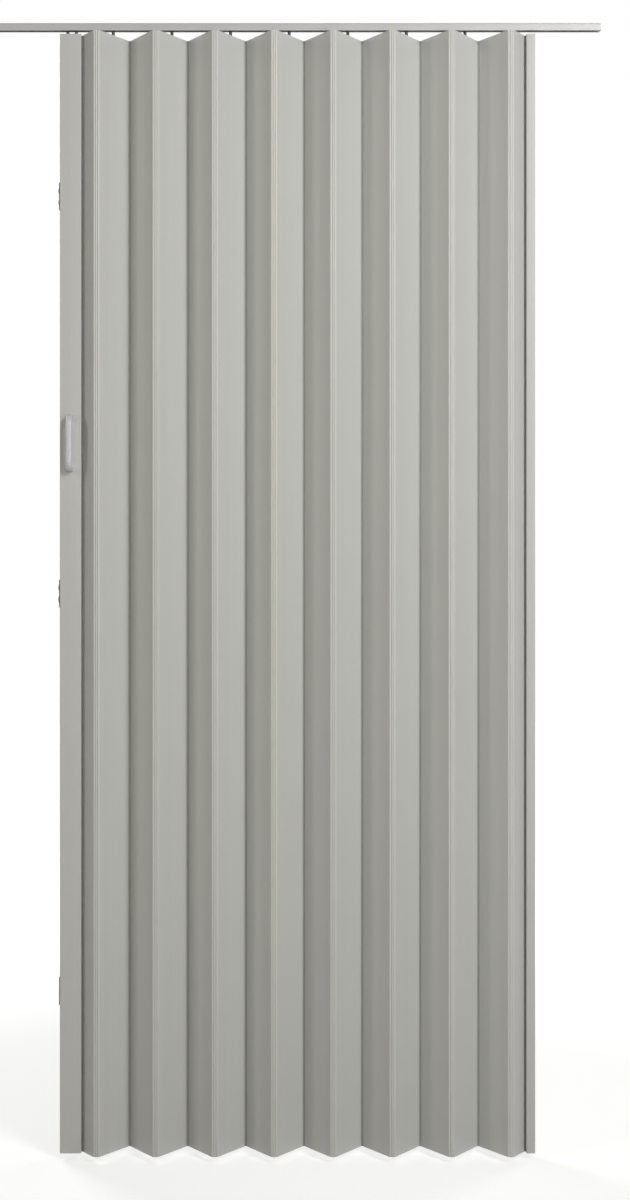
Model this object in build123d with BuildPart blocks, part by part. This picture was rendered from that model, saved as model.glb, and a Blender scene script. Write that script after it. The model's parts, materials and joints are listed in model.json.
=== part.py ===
from build123d import *
import os
from math import asin, cos, degrees, radians, sin

# Vinyl folding door on a ceiling track. Millimetres, +Z up.
# The origin is the middle of the track's top face, +X runs along the track towards the fixed post,
# and -Y is the front. The leaf is built from the fixed post towards the lead post.

# Leaf
door_height = 2000.0
track_to_door = 7.5          # track's underside to the top of the slats and posts
front_folds = 8
fold_angle = 55.3            # between a slat and the track, as the door stands here
stacked_angle = 88.0         # pushed together
spread_angle = 39.2          # drawn out to the end of the track

# Slat, a hollow vinyl extrusion with a C-shaped bead socket on each edge
slat_pitch = 80.0            # socket axis to socket axis
slat_thickness = 5.4
slat_wall = 0.9
slat_rib = 0.8
slat_cell_count = 5
half_slat_cell_count = 2
round_sides = 12             # beads, slats' edges, glides and screws are polygons, to stay light

# Hinge strip, two beads joined by a neck, with a soft cap over the outside of the fold
bead_radius = 1.55
bead_clearance = 0.05
neck_thickness = 1.2
mouth_clearance = 2.0        # degrees left beside the neck at both limits of the fold
strip_pitch = 7.0            # bead axis to bead axis
cap_width = 4.4
cap_gap = 0.3                # between the cap and the slats' round edges
cap_edge = 0.4               # thickness of the cap's free edge
cap_crown = 0.7              # rise of the cap from its free edge to its middle

# Posts
post_depth = 26.0
post_wall = 1.6
post_corner = 1.5
post_gap = 0.9               # between a post's side and the half slat's round edge
post_socket_wall = 1.3
slot_clearance = 0.35        # beside the neck in a post's straight mouth
lead_post_width = 38.0
fixed_post_width = 16.0

# Closing groove of the lead post
groove_mouth = 8.0
groove_width = 14.4
groove_depth = 3.2
groove_wall = 1.4

# Screw holes from the fixed post to the jamb
jamb_hole_radius = 2.25
jamb_access_size = 8.0        # square window for the screwdriver
jamb_hole_offset = 7.4       # behind the hinge strip
jamb_hole_end = 100.0        # from the post's ends
jamb_hole_count = 4

# Track, a steel channel with its slot underneath
track_length = 1219.0
track_past_post = 118.0      # track's end beyond the fixed post
track_width = 12.0
track_height = 14.0
track_sheet = 1.0
track_corner = 1.8
track_slot = 6.8
track_hole_radius = 2.25
track_hole_end = 47.0        # from the track's ends
track_hole_count = 4

# Glide, a moulded mushroom with a barbed tongue that is pushed into a slat's middle cell
glide_side_clearance = 0.5   # head to the channel's sides, and neck to the slot
glide_lip_clearance = 0.2    # head over the channel's lips
glide_head_height = 2.4
glide_head_bevel = 0.9
tongue_width = 9.0
tongue_length = 24.0
tongue_clearance = 0.1
barb_count = 2
barb_height = 1.6

# Plug that carries the lead post's glides
plug_height = 30.0
plug_clearance = 0.15
lead_glide_spacing = 15.2
lead_glide_offset = 1.4      # from the post's middle, towards the leaf

# Bow handles, one on each face of the lead post, screwed to each other through the post
handle_height = 1268.0       # its middle, above the door's bottom edge
handle_length = 102.0
handle_width = 11.4
handle_thickness = 9.4
handle_bevel = 2.6
handle_standoff = 22.0       # post's face to the middle of the grip
handle_bend = 13.0
handle_bend_steps = 4
screw_radius = 1.75
screw_clearance = 0.05
screw_head_radius = 3.2
screw_head_height = 2.2
screw_seat = 6.0             # height of the screw head's seat above the post's rear face
screw_bite = 12.0            # length of the screw inside the front handle
screw_end_clearance = 1.0
screw_head_clearance = 0.3

# Steel catches in the closing groove
catch_height = 50.0
catch_width = 14.0
catch_proud = 2.3
catch_sheet = 0.9
catch_bevel = 0.7
catch_spacing = 711.0
hump_height = 15.0
hump_width = 9.0
hump_rise = 1.8
hump_spacing = 20.5
foot_height = 32.0
foot_clearance = 0.4

# Levels
track_bottom = -track_height
door_top = track_bottom - track_to_door
door_bottom = door_top - door_height
door_middle = (door_top + door_bottom) / 2
handle_middle = door_bottom + handle_height

# Sections that follow from the sizes above
edge_radius = slat_thickness / 2
socket_radius = bead_radius + bead_clearance
neck_half_angle = degrees(asin(neck_thickness / 2 / socket_radius))
mouth_from = spread_angle - neck_half_angle - mouth_clearance
mouth_to = stacked_angle + neck_half_angle + mouth_clearance
cell_height = slat_thickness - 2 * slat_wall
fold_x = slat_pitch * cos(radians(fold_angle))
fold_y = slat_pitch * sin(radians(fold_angle))
post_bead_out = edge_radius + post_gap
post_bead_in = strip_pitch - post_bead_out
post_boss_radius = socket_radius + post_socket_wall
jamb_hole_spacing = (door_height - 2 * jamb_hole_end) / (jamb_hole_count - 1)
track_hole_spacing = (track_length - 2 * track_hole_end) / (track_hole_count - 1)
handle_leg_spacing = handle_length - handle_thickness

# Places along the track
fixed_post_outer = track_length / 2 - track_past_post
fixed_post_face = fixed_post_outer - fixed_post_width
leaf_start = fixed_post_face - post_bead_out
leaf_end = leaf_start - (2 * front_folds - 1) * (fold_x + strip_pitch)
lead_post_face = leaf_end - post_bead_out
lead_post_middle = lead_post_face - lead_post_width / 2
lead_post_outer = lead_post_face - lead_post_width

os.makedirs("parts", exist_ok=True)


def save(part, name):
    part.label = name
    export_step(part, f"parts/{name}.step")


def cell_length(length, cells):
    """Length of one hollow cell of a slat."""
    hollow = length - 2 * (socket_radius + slat_wall)
    return (hollow - (cells - 1) * slat_rib) / cells


def round_polygon(radius, mode=Mode.ADD, inside=True):
    """Many-sided round, with its corners (inside) or its flats on the radius."""
    RegularPolygon(radius, round_sides, major_radius=inside, mode=mode)


def mouth(centre, outward, turn):
    """Wedge in which a hinge strip's neck swings: angles in degrees, turn is +1 or -1."""
    reach = slat_thickness
    angles = [outward + turn * (mouth_from + (mouth_to - mouth_from) * i / 3) for i in range(4)]
    rim = [(centre + reach * cos(radians(a)), reach * sin(radians(a))) for a in angles]
    Polygon((centre, 0), *rim, mode=Mode.SUBTRACT)


def make_slat(name, start, heading, length, cells, turn):
    """Slat from the socket axis at start (x, y), heading in degrees about +Z."""
    along = (cos(radians(heading)), sin(radians(heading)), 0)
    section = Plane(origin=(*start, door_bottom), x_dir=along, z_dir=(0, 0, 1))
    cell = cell_length(length, cells)
    with BuildPart() as slat:
        with BuildSketch(section):
            with Locations((0, 0), (length, 0)):
                round_polygon(edge_radius)
            with Locations((length / 2, 0)):
                Rectangle(length, slat_thickness)
                with GridLocations(cell + slat_rib, 0, cells, 1):
                    Rectangle(cell, cell_height, mode=Mode.SUBTRACT)
            with Locations((0, 0), (length, 0)):
                Circle(socket_radius, mode=Mode.SUBTRACT)
            mouth(0, 180, turn)
            mouth(length, 0, turn)
        extrude(amount=door_height)
    save(slat.part, name)


def make_fold_strip(name, left, level, side):
    """Capped hinge strip of a fold, its left bead at (left, level); side is -1 in front, +1 behind.
    The cap lies on the section's -y side."""
    first_bead = left if side < 0 else left + strip_pitch
    section = Plane(origin=(first_bead, level, door_bottom), x_dir=(-side, 0, 0), z_dir=(0, 0, 1))
    middle = strip_pitch / 2
    shadow = edge_radius + cap_gap
    low = shadow + cap_edge / 2
    with BuildPart() as strip:
        with BuildSketch(section):
            with BuildLine():
                crown = ThreePointArc(
                    (middle - cap_width / 2, -low),
                    (middle, -low - cap_crown),
                    (middle + cap_width / 2, -low),
                )
                Polyline(crown @ 1, (middle + cap_width / 2, 0), (middle - cap_width / 2, 0), crown @ 0)
            make_face()
            with Locations((0, 0), (strip_pitch, 0)):
                round_polygon(shadow, Mode.SUBTRACT, inside=False)
            with Locations((middle, 0)):
                Rectangle(strip_pitch, neck_thickness)
            with Locations((0, 0), (strip_pitch, 0)):
                round_polygon(bead_radius)
        extrude(amount=door_height)
    save(strip.part, name)


def make_post_strip(name, first_bead):
    """Plain hinge strip beside a post, with its beads at first_bead and one pitch beyond."""
    with BuildPart() as strip:
        with BuildSketch(Plane.XY.offset(door_bottom)):
            with Locations((first_bead + strip_pitch / 2, 0)):
                Rectangle(strip_pitch, neck_thickness)
            with Locations((first_bead, 0), (first_bead + strip_pitch, 0)):
                round_polygon(bead_radius)
        extrude(amount=door_height)
    save(strip.part, name)


def post_chamber(low, high):
    """Hollow of a post between two X positions, as part of its section."""
    with Locations(((low + high) / 2, 0)):
        Rectangle(high - low, post_depth - 2 * post_wall, mode=Mode.SUBTRACT)


def post_socket(face, inward):
    """Bead socket inside a post's side; inward is the sign of X into the post."""
    bead = face + inward * post_bead_in
    with Locations((bead, 0)):
        Circle(post_boss_radius)
    with Locations(((face + bead) / 2, 0)):
        Rectangle(post_bead_in, 2 * post_boss_radius)
    with Locations((bead, 0)):
        Circle(socket_radius, mode=Mode.SUBTRACT)
    with Locations((face + inward * post_bead_in / 2, 0)):
        Rectangle(post_bead_in, neck_thickness + 2 * slot_clearance, mode=Mode.SUBTRACT)


def make_fixed_post():
    middle = fixed_post_face + fixed_post_width / 2
    with BuildPart() as fixed_post:
        with BuildSketch(Plane.XY.offset(door_bottom)):
            with Locations((middle, 0)):
                RectangleRounded(fixed_post_width, post_depth, post_corner)
            post_chamber(fixed_post_face + post_wall, fixed_post_outer - post_wall)
            post_socket(fixed_post_face, 1)
        extrude(amount=door_height)
        outer_side = Plane(
            origin=(fixed_post_outer, jamb_hole_offset, door_middle), x_dir=(0, 0, 1), z_dir=(1, 0, 0)
        )
        with Locations(outer_side):
            with GridLocations(jamb_hole_spacing, 0, jamb_hole_count, 1):
                Hole(jamb_hole_radius, depth=2 * post_wall)
        with BuildSketch(outer_side.offset(-fixed_post_width)):
            with GridLocations(jamb_hole_spacing, 0, jamb_hole_count, 1):
                Rectangle(jamb_access_size, jamb_access_size)
        extrude(amount=2 * post_wall, mode=Mode.SUBTRACT)
    save(fixed_post.part, "fixed_post")


def handle_plane(y):
    """Upright plane across the post at the handles' middle, X up and facing the rear."""
    return Plane(origin=(lead_post_middle, y, handle_middle), x_dir=(0, 0, 1), z_dir=(0, 1, 0))


def make_lead_post():
    groove_floor = lead_post_outer + post_wall + groove_depth
    with BuildPart() as lead_post:
        with BuildSketch(Plane.XY.offset(door_bottom)):
            with Locations((lead_post_middle, 0)):
                RectangleRounded(lead_post_width, post_depth, post_corner)
            post_chamber(lead_post_outer + post_wall, lead_post_face - post_wall)
            with Locations(((lead_post_outer + post_wall + groove_floor + groove_wall) / 2, 0)):
                Rectangle(groove_depth + groove_wall, groove_width + 2 * groove_wall)
            with Locations((groove_floor - groove_depth / 2, 0)):
                Rectangle(groove_depth, groove_width, mode=Mode.SUBTRACT)
            with Locations((lead_post_outer + post_wall / 2, 0)):
                Rectangle(post_wall, groove_mouth, mode=Mode.SUBTRACT)
            post_socket(lead_post_face, -1)
        extrude(amount=door_height)
        with BuildSketch(handle_plane(0)):
            with GridLocations(handle_leg_spacing, 0, 2, 1):
                round_polygon(screw_radius + screw_clearance, inside=False)
        extrude(amount=post_depth, both=True, mode=Mode.SUBTRACT)
    save(lead_post.part, "lead_post")


def make_track():
    with BuildPart() as track:
        end = Plane(origin=(-track_length / 2, 0, -track_height / 2), x_dir=(0, 1, 0), z_dir=(1, 0, 0))
        with BuildSketch(end):
            RectangleRounded(track_width, track_height, track_corner)
            Rectangle(track_width - 2 * track_sheet, track_height - 2 * track_sheet, mode=Mode.SUBTRACT)
            with Locations((0, (track_sheet - track_height) / 2)):
                Rectangle(track_slot, 2 * track_sheet, mode=Mode.SUBTRACT)
        extrude(amount=track_length)
        with GridLocations(track_hole_spacing, 0, track_hole_count, 1):
            Hole(track_hole_radius, depth=1.5 * track_sheet)
    save(track.part, "track")


def glide_at(x, y, heading):
    """Glide standing at (x, y), its tongue turned to heading; returns the part."""
    lip = track_bottom + track_sheet
    head_radius = (track_width - 2 * track_sheet) / 2 - glide_side_clearance
    neck_radius = track_slot / 2 - glide_side_clearance
    head_bottom = lip + glide_lip_clearance
    along = (cos(radians(heading)), sin(radians(heading)), 0)
    barb_width = cell_length(slat_pitch, slat_cell_count) - 2 * tongue_clearance
    tongue_thickness = cell_height - 2 * tongue_clearance
    with BuildPart() as glide:
        with BuildSketch(Plane.XY.offset(head_bottom)):
            with Locations((x, y)):
                round_polygon(head_radius)
        extrude(amount=glide_head_height)
        chamfer(glide.edges().group_by(Axis.Z)[-1], glide_head_bevel)
        with BuildSketch(Plane.XY.offset(door_top)):
            with Locations((x, y)):
                round_polygon(neck_radius)
        extrude(amount=head_bottom - door_top)
        with BuildSketch(Plane(origin=(x, y, door_top), x_dir=along, z_dir=(0, 0, 1))):
            Rectangle(tongue_width, tongue_thickness)
        extrude(amount=-tongue_length)
        for i in range(barb_count):
            level = door_top - tongue_length * (i + 0.5) / barb_count
            with BuildSketch(Plane(origin=(x, y, level), x_dir=along, z_dir=(0, 0, 1))):
                Rectangle(barb_width, tongue_thickness)
            extrude(amount=-barb_height)
    return glide.part


def make_lead_plug_and_glides():
    groove_floor = lead_post_outer + post_wall + groove_depth
    low = groove_floor + groove_wall + plug_clearance
    high = lead_post_face - post_bead_in - post_boss_radius - plug_clearance
    centre = lead_post_middle + lead_glide_offset
    pocket_width = cell_length(slat_pitch, slat_cell_count)
    with BuildPart() as plug:
        with BuildSketch(Plane.XY.offset(door_top)):
            with Locations(((low + high) / 2, 0)):
                Rectangle(high - low, post_depth - 2 * post_wall - 2 * plug_clearance)
            with Locations((centre, 0)):
                with GridLocations(lead_glide_spacing, 0, 2, 1):
                    Rectangle(cell_height, pocket_width, mode=Mode.SUBTRACT)
        extrude(amount=-plug_height)
    save(plug.part, "lead_top_plug")
    pair = [glide_at(centre + side * lead_glide_spacing / 2, 0, 90) for side in (-1, 1)]
    save(Compound(children=pair), "lead_glides")


def bore_at_legs(radius, seat, depth):
    """Subtract a screw bore from both legs of a handle, from the plane at y=seat."""
    with BuildSketch(handle_plane(seat)) as bores:
        with GridLocations(handle_leg_spacing, 0, 2, 1):
            round_polygon(radius, inside=False)
    extrude(bores.sketch, amount=depth, mode=Mode.SUBTRACT)


def make_handle(name, side):
    """Bow handle on the post's front (side -1) or rear (side +1)."""
    face = side * post_depth / 2
    half = handle_leg_spacing / 2
    outline = Plane(
        origin=(lead_post_middle, face, handle_middle), x_dir=(0, side, 0), z_dir=(side, 0, 0)
    )
    foot = Plane(
        origin=(lead_post_middle, face, handle_middle - half), x_dir=(1, 0, 0), z_dir=(0, side, 0)
    )
    turns = [radians(90 * i / handle_bend_steps) for i in range(handle_bend_steps + 1)]
    bend = [
        (handle_standoff - handle_bend * (1 - sin(a)), half - handle_bend * (1 - cos(a))) for a in turns
    ]
    with BuildPart() as handle:
        with BuildLine(outline):
            Polyline((0, -half), *[(out, -up) for out, up in bend], *reversed(bend), (0, half))
        with BuildSketch(foot):
            section = Rectangle(handle_width, handle_thickness)
            chamfer(section.vertices(), handle_bevel)
        sweep(transition=Transition.RIGHT)
        if side < 0:
            bore_at_legs(screw_radius + screw_clearance, face, -screw_bite - screw_end_clearance)
        else:
            bore_at_legs(screw_radius + screw_clearance, face, screw_seat)
            bore_at_legs(screw_head_radius + screw_head_clearance, face + screw_seat, handle_standoff)
    save(handle.part, name)


def make_handle_screws():
    seat = post_depth / 2 + screw_seat
    tip = -post_depth / 2 - screw_bite
    with BuildPart() as screws:
        with BuildSketch(handle_plane(tip)):
            with GridLocations(handle_leg_spacing, 0, 2, 1):
                round_polygon(screw_radius)
        extrude(amount=seat - tip)
        with BuildSketch(handle_plane(seat)):
            with GridLocations(handle_leg_spacing, 0, 2, 1):
                round_polygon(screw_head_radius)
        extrude(amount=screw_head_height)
    save(screws.part, "handle_screws")


def make_catch(name, height, humps):
    """Pressed steel tray over the closing groove, held by a T-shaped foot."""
    face = Plane(origin=(lead_post_outer, 0, height), x_dir=(0, 1, 0), z_dir=(-1, 0, 0))
    cavity = lead_post_outer + post_wall
    tee_thickness = groove_depth - 2 * foot_clearance
    tee = cavity + foot_clearance
    with BuildPart() as catch:
        with BuildSketch(face):
            Rectangle(catch_width, catch_height)
        extrude(amount=catch_proud)
        chamfer(catch.faces().sort_by(Axis.X)[0].edges(), catch_bevel)
        with BuildSketch(face):
            Rectangle(catch_width - 2 * catch_sheet, catch_height - 2 * catch_sheet)
        extrude(amount=catch_proud - catch_sheet, mode=Mode.SUBTRACT)
        with BuildSketch(face.offset(catch_proud - catch_sheet)):
            Rectangle(groove_mouth - 2 * foot_clearance, foot_height)
        extrude(amount=-(catch_proud - catch_sheet + tee - lead_post_outer + tee_thickness))
        with BuildSketch(Plane(origin=(tee, 0, height), x_dir=(0, 1, 0), z_dir=(1, 0, 0))):
            Rectangle(groove_width - 2 * foot_clearance, foot_height)
        extrude(amount=tee_thickness)
        if humps:
            side = Plane(
                origin=(lead_post_outer - catch_proud, 0, height), x_dir=(0, 0, 1), z_dir=(0, -1, 0)
            )
            with BuildSketch(side):
                with GridLocations(hump_spacing, 0, 2, 1):
                    with BuildLine():
                        arch = ThreePointArc((-hump_height / 2, 0), (0, hump_rise), (hump_height / 2, 0))
                        Line(arch @ 0, arch @ 1)
                    make_face()
            extrude(amount=hump_width / 2, both=True)
    save(catch.part, name)


def make_leaf():
    """Slats, hinge strips and glides, from the fixed post to the lead post."""
    front = -fold_y / 2
    rear = fold_y / 2
    x = leaf_start
    make_slat("half_panel_fixed", (x, 0), 180 + fold_angle, slat_pitch / 2, half_slat_cell_count, -1)
    x -= fold_x / 2
    for fold in range(1, front_folds + 1):
        x -= strip_pitch
        make_fold_strip(f"front_strip_{fold}", x, front, -1)
        if fold == front_folds:
            break
        make_slat(f"panel_{2 * fold - 1:02d}", (x, front), 180 - fold_angle, slat_pitch, slat_cell_count, 1)
        x -= fold_x
        x -= strip_pitch
        make_fold_strip(f"rear_strip_{fold}", x, rear, 1)
        make_slat(f"panel_{2 * fold:02d}", (x, rear), 180 + fold_angle, slat_pitch, slat_cell_count, -1)
        save(glide_at(x - fold_x / 2, 0, 180 + fold_angle), f"glide_{fold}")
        x -= fold_x
    make_slat("half_panel_lead", (x, front), 180 - fold_angle, slat_pitch / 2, half_slat_cell_count, 1)


make_track()
make_fixed_post()
make_post_strip("fixed_post_strip", leaf_start)
make_leaf()
make_post_strip("lead_post_strip", leaf_end - strip_pitch)
make_lead_post()
make_lead_plug_and_glides()
make_handle("handle_front", -1)
make_handle("handle_back", 1)
make_handle_screws()
make_catch("catch_upper", door_middle + catch_spacing, True)
make_catch("catch_middle", door_middle, True)
make_catch("catch_lower", door_middle - catch_spacing, False)

print("leaf from", leaf_start, "to", leaf_end)
print("lead post from", lead_post_outer, "to", lead_post_face)
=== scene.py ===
import json
from math import asin, atan2, copysign, cos, degrees, hypot, pi, radians, sin

import bmesh
import bpy
from mathutils import Matrix, Vector
from mathutils.geometry import tessellate_polygon

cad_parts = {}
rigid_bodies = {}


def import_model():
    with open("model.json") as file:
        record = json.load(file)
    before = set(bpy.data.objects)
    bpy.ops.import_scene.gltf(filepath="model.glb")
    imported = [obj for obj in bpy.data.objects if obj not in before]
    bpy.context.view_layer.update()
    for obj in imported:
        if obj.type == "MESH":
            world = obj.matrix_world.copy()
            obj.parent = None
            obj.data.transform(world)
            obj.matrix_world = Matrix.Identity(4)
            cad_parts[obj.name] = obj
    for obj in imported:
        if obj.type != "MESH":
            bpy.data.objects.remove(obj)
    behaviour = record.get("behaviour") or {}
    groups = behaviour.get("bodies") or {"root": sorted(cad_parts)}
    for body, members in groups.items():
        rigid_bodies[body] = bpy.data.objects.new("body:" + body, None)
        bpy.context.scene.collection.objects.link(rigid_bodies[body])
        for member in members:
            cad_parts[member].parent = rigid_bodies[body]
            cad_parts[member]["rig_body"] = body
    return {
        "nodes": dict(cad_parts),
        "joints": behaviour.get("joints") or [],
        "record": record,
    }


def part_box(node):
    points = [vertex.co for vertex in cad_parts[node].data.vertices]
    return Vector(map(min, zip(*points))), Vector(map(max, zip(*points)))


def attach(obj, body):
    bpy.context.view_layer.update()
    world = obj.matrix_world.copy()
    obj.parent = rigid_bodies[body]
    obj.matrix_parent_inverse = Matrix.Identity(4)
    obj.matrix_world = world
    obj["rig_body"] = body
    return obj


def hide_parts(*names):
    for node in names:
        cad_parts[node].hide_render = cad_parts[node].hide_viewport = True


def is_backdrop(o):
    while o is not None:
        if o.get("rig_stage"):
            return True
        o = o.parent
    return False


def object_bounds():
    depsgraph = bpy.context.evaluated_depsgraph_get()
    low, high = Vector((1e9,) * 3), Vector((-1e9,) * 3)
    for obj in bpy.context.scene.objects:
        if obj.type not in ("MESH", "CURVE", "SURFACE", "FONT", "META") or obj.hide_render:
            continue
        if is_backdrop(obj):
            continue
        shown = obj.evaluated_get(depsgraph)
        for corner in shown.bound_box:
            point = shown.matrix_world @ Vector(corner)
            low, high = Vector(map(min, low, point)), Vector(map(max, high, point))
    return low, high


# The looks of a vinyl folding door on a ceiling track. Metres, +Z up, front towards -Y.
# Each piece is remade with true rounds where the construction has polygons, in the same place.

bl_info = {
    "name": "Vinyl folding door",
    "version": (1, 0, 0),
    "blender": (4, 5, 0),
    "location": "3D View > Sidebar > Folding door",
    "description": "Slats, hinge strips, posts, track and fittings of a vinyl folding door",
    "category": "Object",
}

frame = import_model()
cad_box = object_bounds()

# A body's hinge axis towards the fixed post, and the one towards the lead post
begins = {joint["child"]: Vector(joint["pos_m"]) for joint in frame["joints"]}
ends = {joint["parent"]: Vector(joint["pos_m"]) for joint in frame["joints"]}
fold_range = next(j["range_deg"] for j in frame["joints"] if j["name"] == "fold")
fixed_post_low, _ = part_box("fixed_post")
lead_post_low, lead_post_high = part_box("lead_post")
track_low, track_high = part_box("track")
door_bottom = lead_post_low.z
door_top = lead_post_high.z


def screen_colour(red, green, blue):
    """Linear colour from its 0 to 255 values on a screen."""
    def linear(value):
        value /= 255
        return value / 12.92 if value <= 0.04045 else ((value + 0.055) / 1.055) ** 2.4
    return linear(red), linear(green), linear(blue)


def size(name, description, default):
    """Length in metres that the user can set."""
    return bpy.props.FloatProperty(
        name=name, description=description, default=default, min=0.0, precision=5,
        subtype="DISTANCE", unit="LENGTH",
    )


def colour(name, description, default):
    return bpy.props.FloatVectorProperty(
        name=name, description=description, default=default, min=0.0, max=1.0, size=3, subtype="COLOR",
    )


def share(name, description, default, highest=1.0):
    """Plain number without a unit."""
    return bpy.props.FloatProperty(
        name=name, description=description, default=default, min=0.0, max=highest,
    )


class FoldingDoorSizes(bpy.types.PropertyGroup):
    slat_thickness: size("Slat thickness", "Over both faces of a slat", 0.0054)
    slat_wall: size("Slat wall", "Skin of a slat over its hollow cells", 0.0009)
    slat_rib: size("Slat rib", "Web between two hollow cells", 0.0008)
    slat_cells: bpy.props.IntProperty(
        name="Slat cells", description="Hollow cells across a full slat", default=5, min=1
    )
    half_slat_cells: bpy.props.IntProperty(
        name="Half slat cells", description="Hollow cells across a half slat", default=2, min=1
    )
    cell_round: size("Cell round", "Round in the corners of the hollow cells", 0.00045)
    end_ease: size("Cut end", "Bevel left by the saw at the ends of the extrusions", 0.00018)
    bead_radius: size("Bead radius", "Round bead along each side of a hinge strip", 0.00155)
    bead_clearance: size("Bead clearance", "Between a bead and its socket", 0.00005)
    neck_thickness: size("Neck thickness", "Web between the two beads", 0.0012)
    mouth_clearance: bpy.props.FloatProperty(
        name="Mouth clearance", description="Left beside the neck at both limits of the fold",
        default=radians(2), subtype="ANGLE", unit="ROTATION",
    )
    cap_width: size("Cap width", "Soft cap over the outside of a fold", 0.0044)
    cap_gap: size("Cap gap", "Between the cap and the slats' round edges", 0.00045)
    cap_edge: size("Cap edge", "Thickness of the cap's free edge", 0.0004)
    cap_crown: size("Cap crown", "Rise of the cap to its middle", 0.0007)
    cap_groove: size("Cap groove", "Drawn back from each free edge of the cap", 0.00065)
    post_wall: size("Post wall", "Wall of a hollow post", 0.0016)
    post_corner: size("Post corner", "Round on the post's outer corners", 0.0015)
    post_socket_wall: size("Socket wall", "Wall round the bead socket of a post", 0.0013)
    slot_clearance: size("Slot clearance", "Beside the neck in a post's mouth", 0.00035)
    groove_mouth: size("Groove mouth", "Opening of the closing groove", 0.0080)
    groove_width: size("Groove width", "Inside the closing groove", 0.0144)
    groove_depth: size("Groove depth", "Inside the closing groove", 0.0032)
    groove_wall: size("Groove wall", "Wall round the closing groove", 0.0014)
    jamb_hole: size("Jamb hole", "Radius of the screw holes to the jamb", 0.00225)
    jamb_window: size("Jamb window", "Window for the screwdriver", 0.0080)
    track_sheet: size("Track sheet", "Thickness of the rolled steel", 0.0010)
    track_corner: size("Track corner", "Outer round of the rolled corners", 0.0018)
    track_slot: size("Track slot", "Slot in which the glides run", 0.0068)
    track_hole: size("Track hole", "Radius of the screw holes to the lintel", 0.00225)
    glide_head: size("Glide head", "Radius of the head inside the track", 0.0045)
    glide_head_height: size("Glide head height", "Height of the head inside the track", 0.0024)
    glide_neck: size("Glide neck", "Radius of the neck in the track's slot", 0.0029)
    tongue_width: size("Tongue width", "Of the glide's tongue in the slat", 0.0090)
    tongue_length: size("Tongue length", "Of the glide's tongue in the slat", 0.0240)
    tongue_clearance: size("Tongue clearance", "Tongue to the slat's cell", 0.0001)
    barb_height: size("Barb height", "Of each barb on the tongue", 0.0016)
    handle_width: size("Handle width", "Across the grip, seen from the front", 0.0114)
    handle_thickness: size("Handle thickness", "Of the grip, seen from the side", 0.0094)
    handle_standoff: size("Handle standoff", "Post to the middle of the grip", 0.0220)
    handle_bend: size("Handle bend", "Radius of the handle's two bends", 0.0130)
    handle_ring: size("Handle ring", "Radius of the round mark on the grip", 0.0034)
    handle_ring_drop: size("Ring drop", "Round mark below the middle of the grip", 0.0190)
    ring_groove: size("Ring groove", "Half the width of the round mark's groove", 0.0009)
    ring_depth: size("Ring depth", "Depth of the round mark's groove", 0.0006)
    screw_head: size("Screw head", "Radius of the handle screws' heads", 0.0032)
    screw_head_height: size("Screw head height", "Of the handle screws", 0.0022)
    screw_shank: size("Screw shank", "Radius of the handle screws", 0.00175)
    screw_seat: size("Screw seat", "Head's seat above the post's rear face", 0.0060)
    screw_clearance: size("Screw clearance", "Round the screw's head", 0.0003)
    catch_proud: size("Catch height", "Catch plate over the post's edge", 0.0023)
    catch_round: size("Catch round", "Round on the pressed edges", 0.0009)
    hump_height: size("Hump length", "Of each hump along the post", 0.0150)
    hump_width: size("Hump width", "Of each hump across the post", 0.0090)
    hump_rise: size("Hump rise", "Of each hump over its plate", 0.0018)
    hump_spacing: size("Hump spacing", "From one hump to the other", 0.0205)
    foot_height: size("Foot height", "Foot of a catch along the groove", 0.0320)
    foot_clearance: size("Foot clearance", "Round the foot in the groove", 0.0004)


class FoldingDoorFinish(bpy.types.PropertyGroup):
    vinyl: colour("Vinyl", "Slats", screen_colour(201, 201, 197))
    post: colour("Post vinyl", "Posts, a shade darker than the slats", screen_colour(189, 188, 184))
    strip: colour("Hinge strip", "Soft vinyl of the hinge strips", screen_colour(207, 206, 194))
    # Painted shade for the hinge strips down in the gap between two slats, where shade falls
    painted_gap_shade: colour("Painted gap shade", "Settled in the gaps between the slats", screen_colour(152, 151, 146))
    # Painted shade for the underside of the track
    track: colour("Track", "Coated steel of the track", screen_colour(181, 180, 180))
    track_underside_painted_shade: colour("Track underside", "Darker tone under the track", screen_colour(112, 113, 118))
    glide: colour("Glide", "Nylon of the glides", screen_colour(24, 24, 24))
    plug: colour("Plug", "Nylon of the lead post's plug", screen_colour(52, 52, 50))
    handle: colour("Handle", "Moulded handle", screen_colour(187, 184, 182))
    screw: colour("Screw", "Plated screws", screen_colour(200, 200, 200))
    catch: colour("Catch", "Blackened steel of the catches", screen_colour(92, 92, 90))


class FoldingDoorStudio(bpy.types.PropertyGroup):
    camera_place: bpy.props.FloatVectorProperty(
        name="Camera place", description="Level camera in front of the door",
        default=(0.098, -3.385, -1.033), size=3, subtype="XYZ", unit="LENGTH",
    )
    lens: bpy.props.FloatProperty(
        name="Lens", description="Focal length", default=56.64, min=1.0, unit="CAMERA"
    )
    key_power: share("Key power", "Watts of the soft light at the right, above", 50.0, 1000.0)
    low_power: share("Low power", "Watts of the soft light at the right, below", 12.0, 1000.0)
    fill_power: share("Fill power", "Watts of the soft light at the left", 22.0, 1000.0)
    front_power: share("Front power", "Watts of the soft light near the camera", 8.0, 1000.0)
    fill_tint: colour("Fill tint", "Colour of the soft light at the left", (1.0, 0.97, 0.88))
    rear_power: share("Rear power", "Watts of the soft light behind at the left", 50.0, 1000.0)
    ambient: share("Ambient", "Strength of the room's even light", 0.05, 10.0)
    floor_gap: size("Floor gap", "Door's bottom to the floor", 0.012)


# Outlines: lists of (x, y), anticlockwise round material

def arc(centre, radius, first, last, steps):
    """Points of an arc between two angles in degrees."""
    turns = [radians(first + (last - first) * i / steps) for i in range(steps + 1)]
    return [(centre[0] + radius * cos(a), centre[1] + radius * sin(a)) for a in turns]


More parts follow.
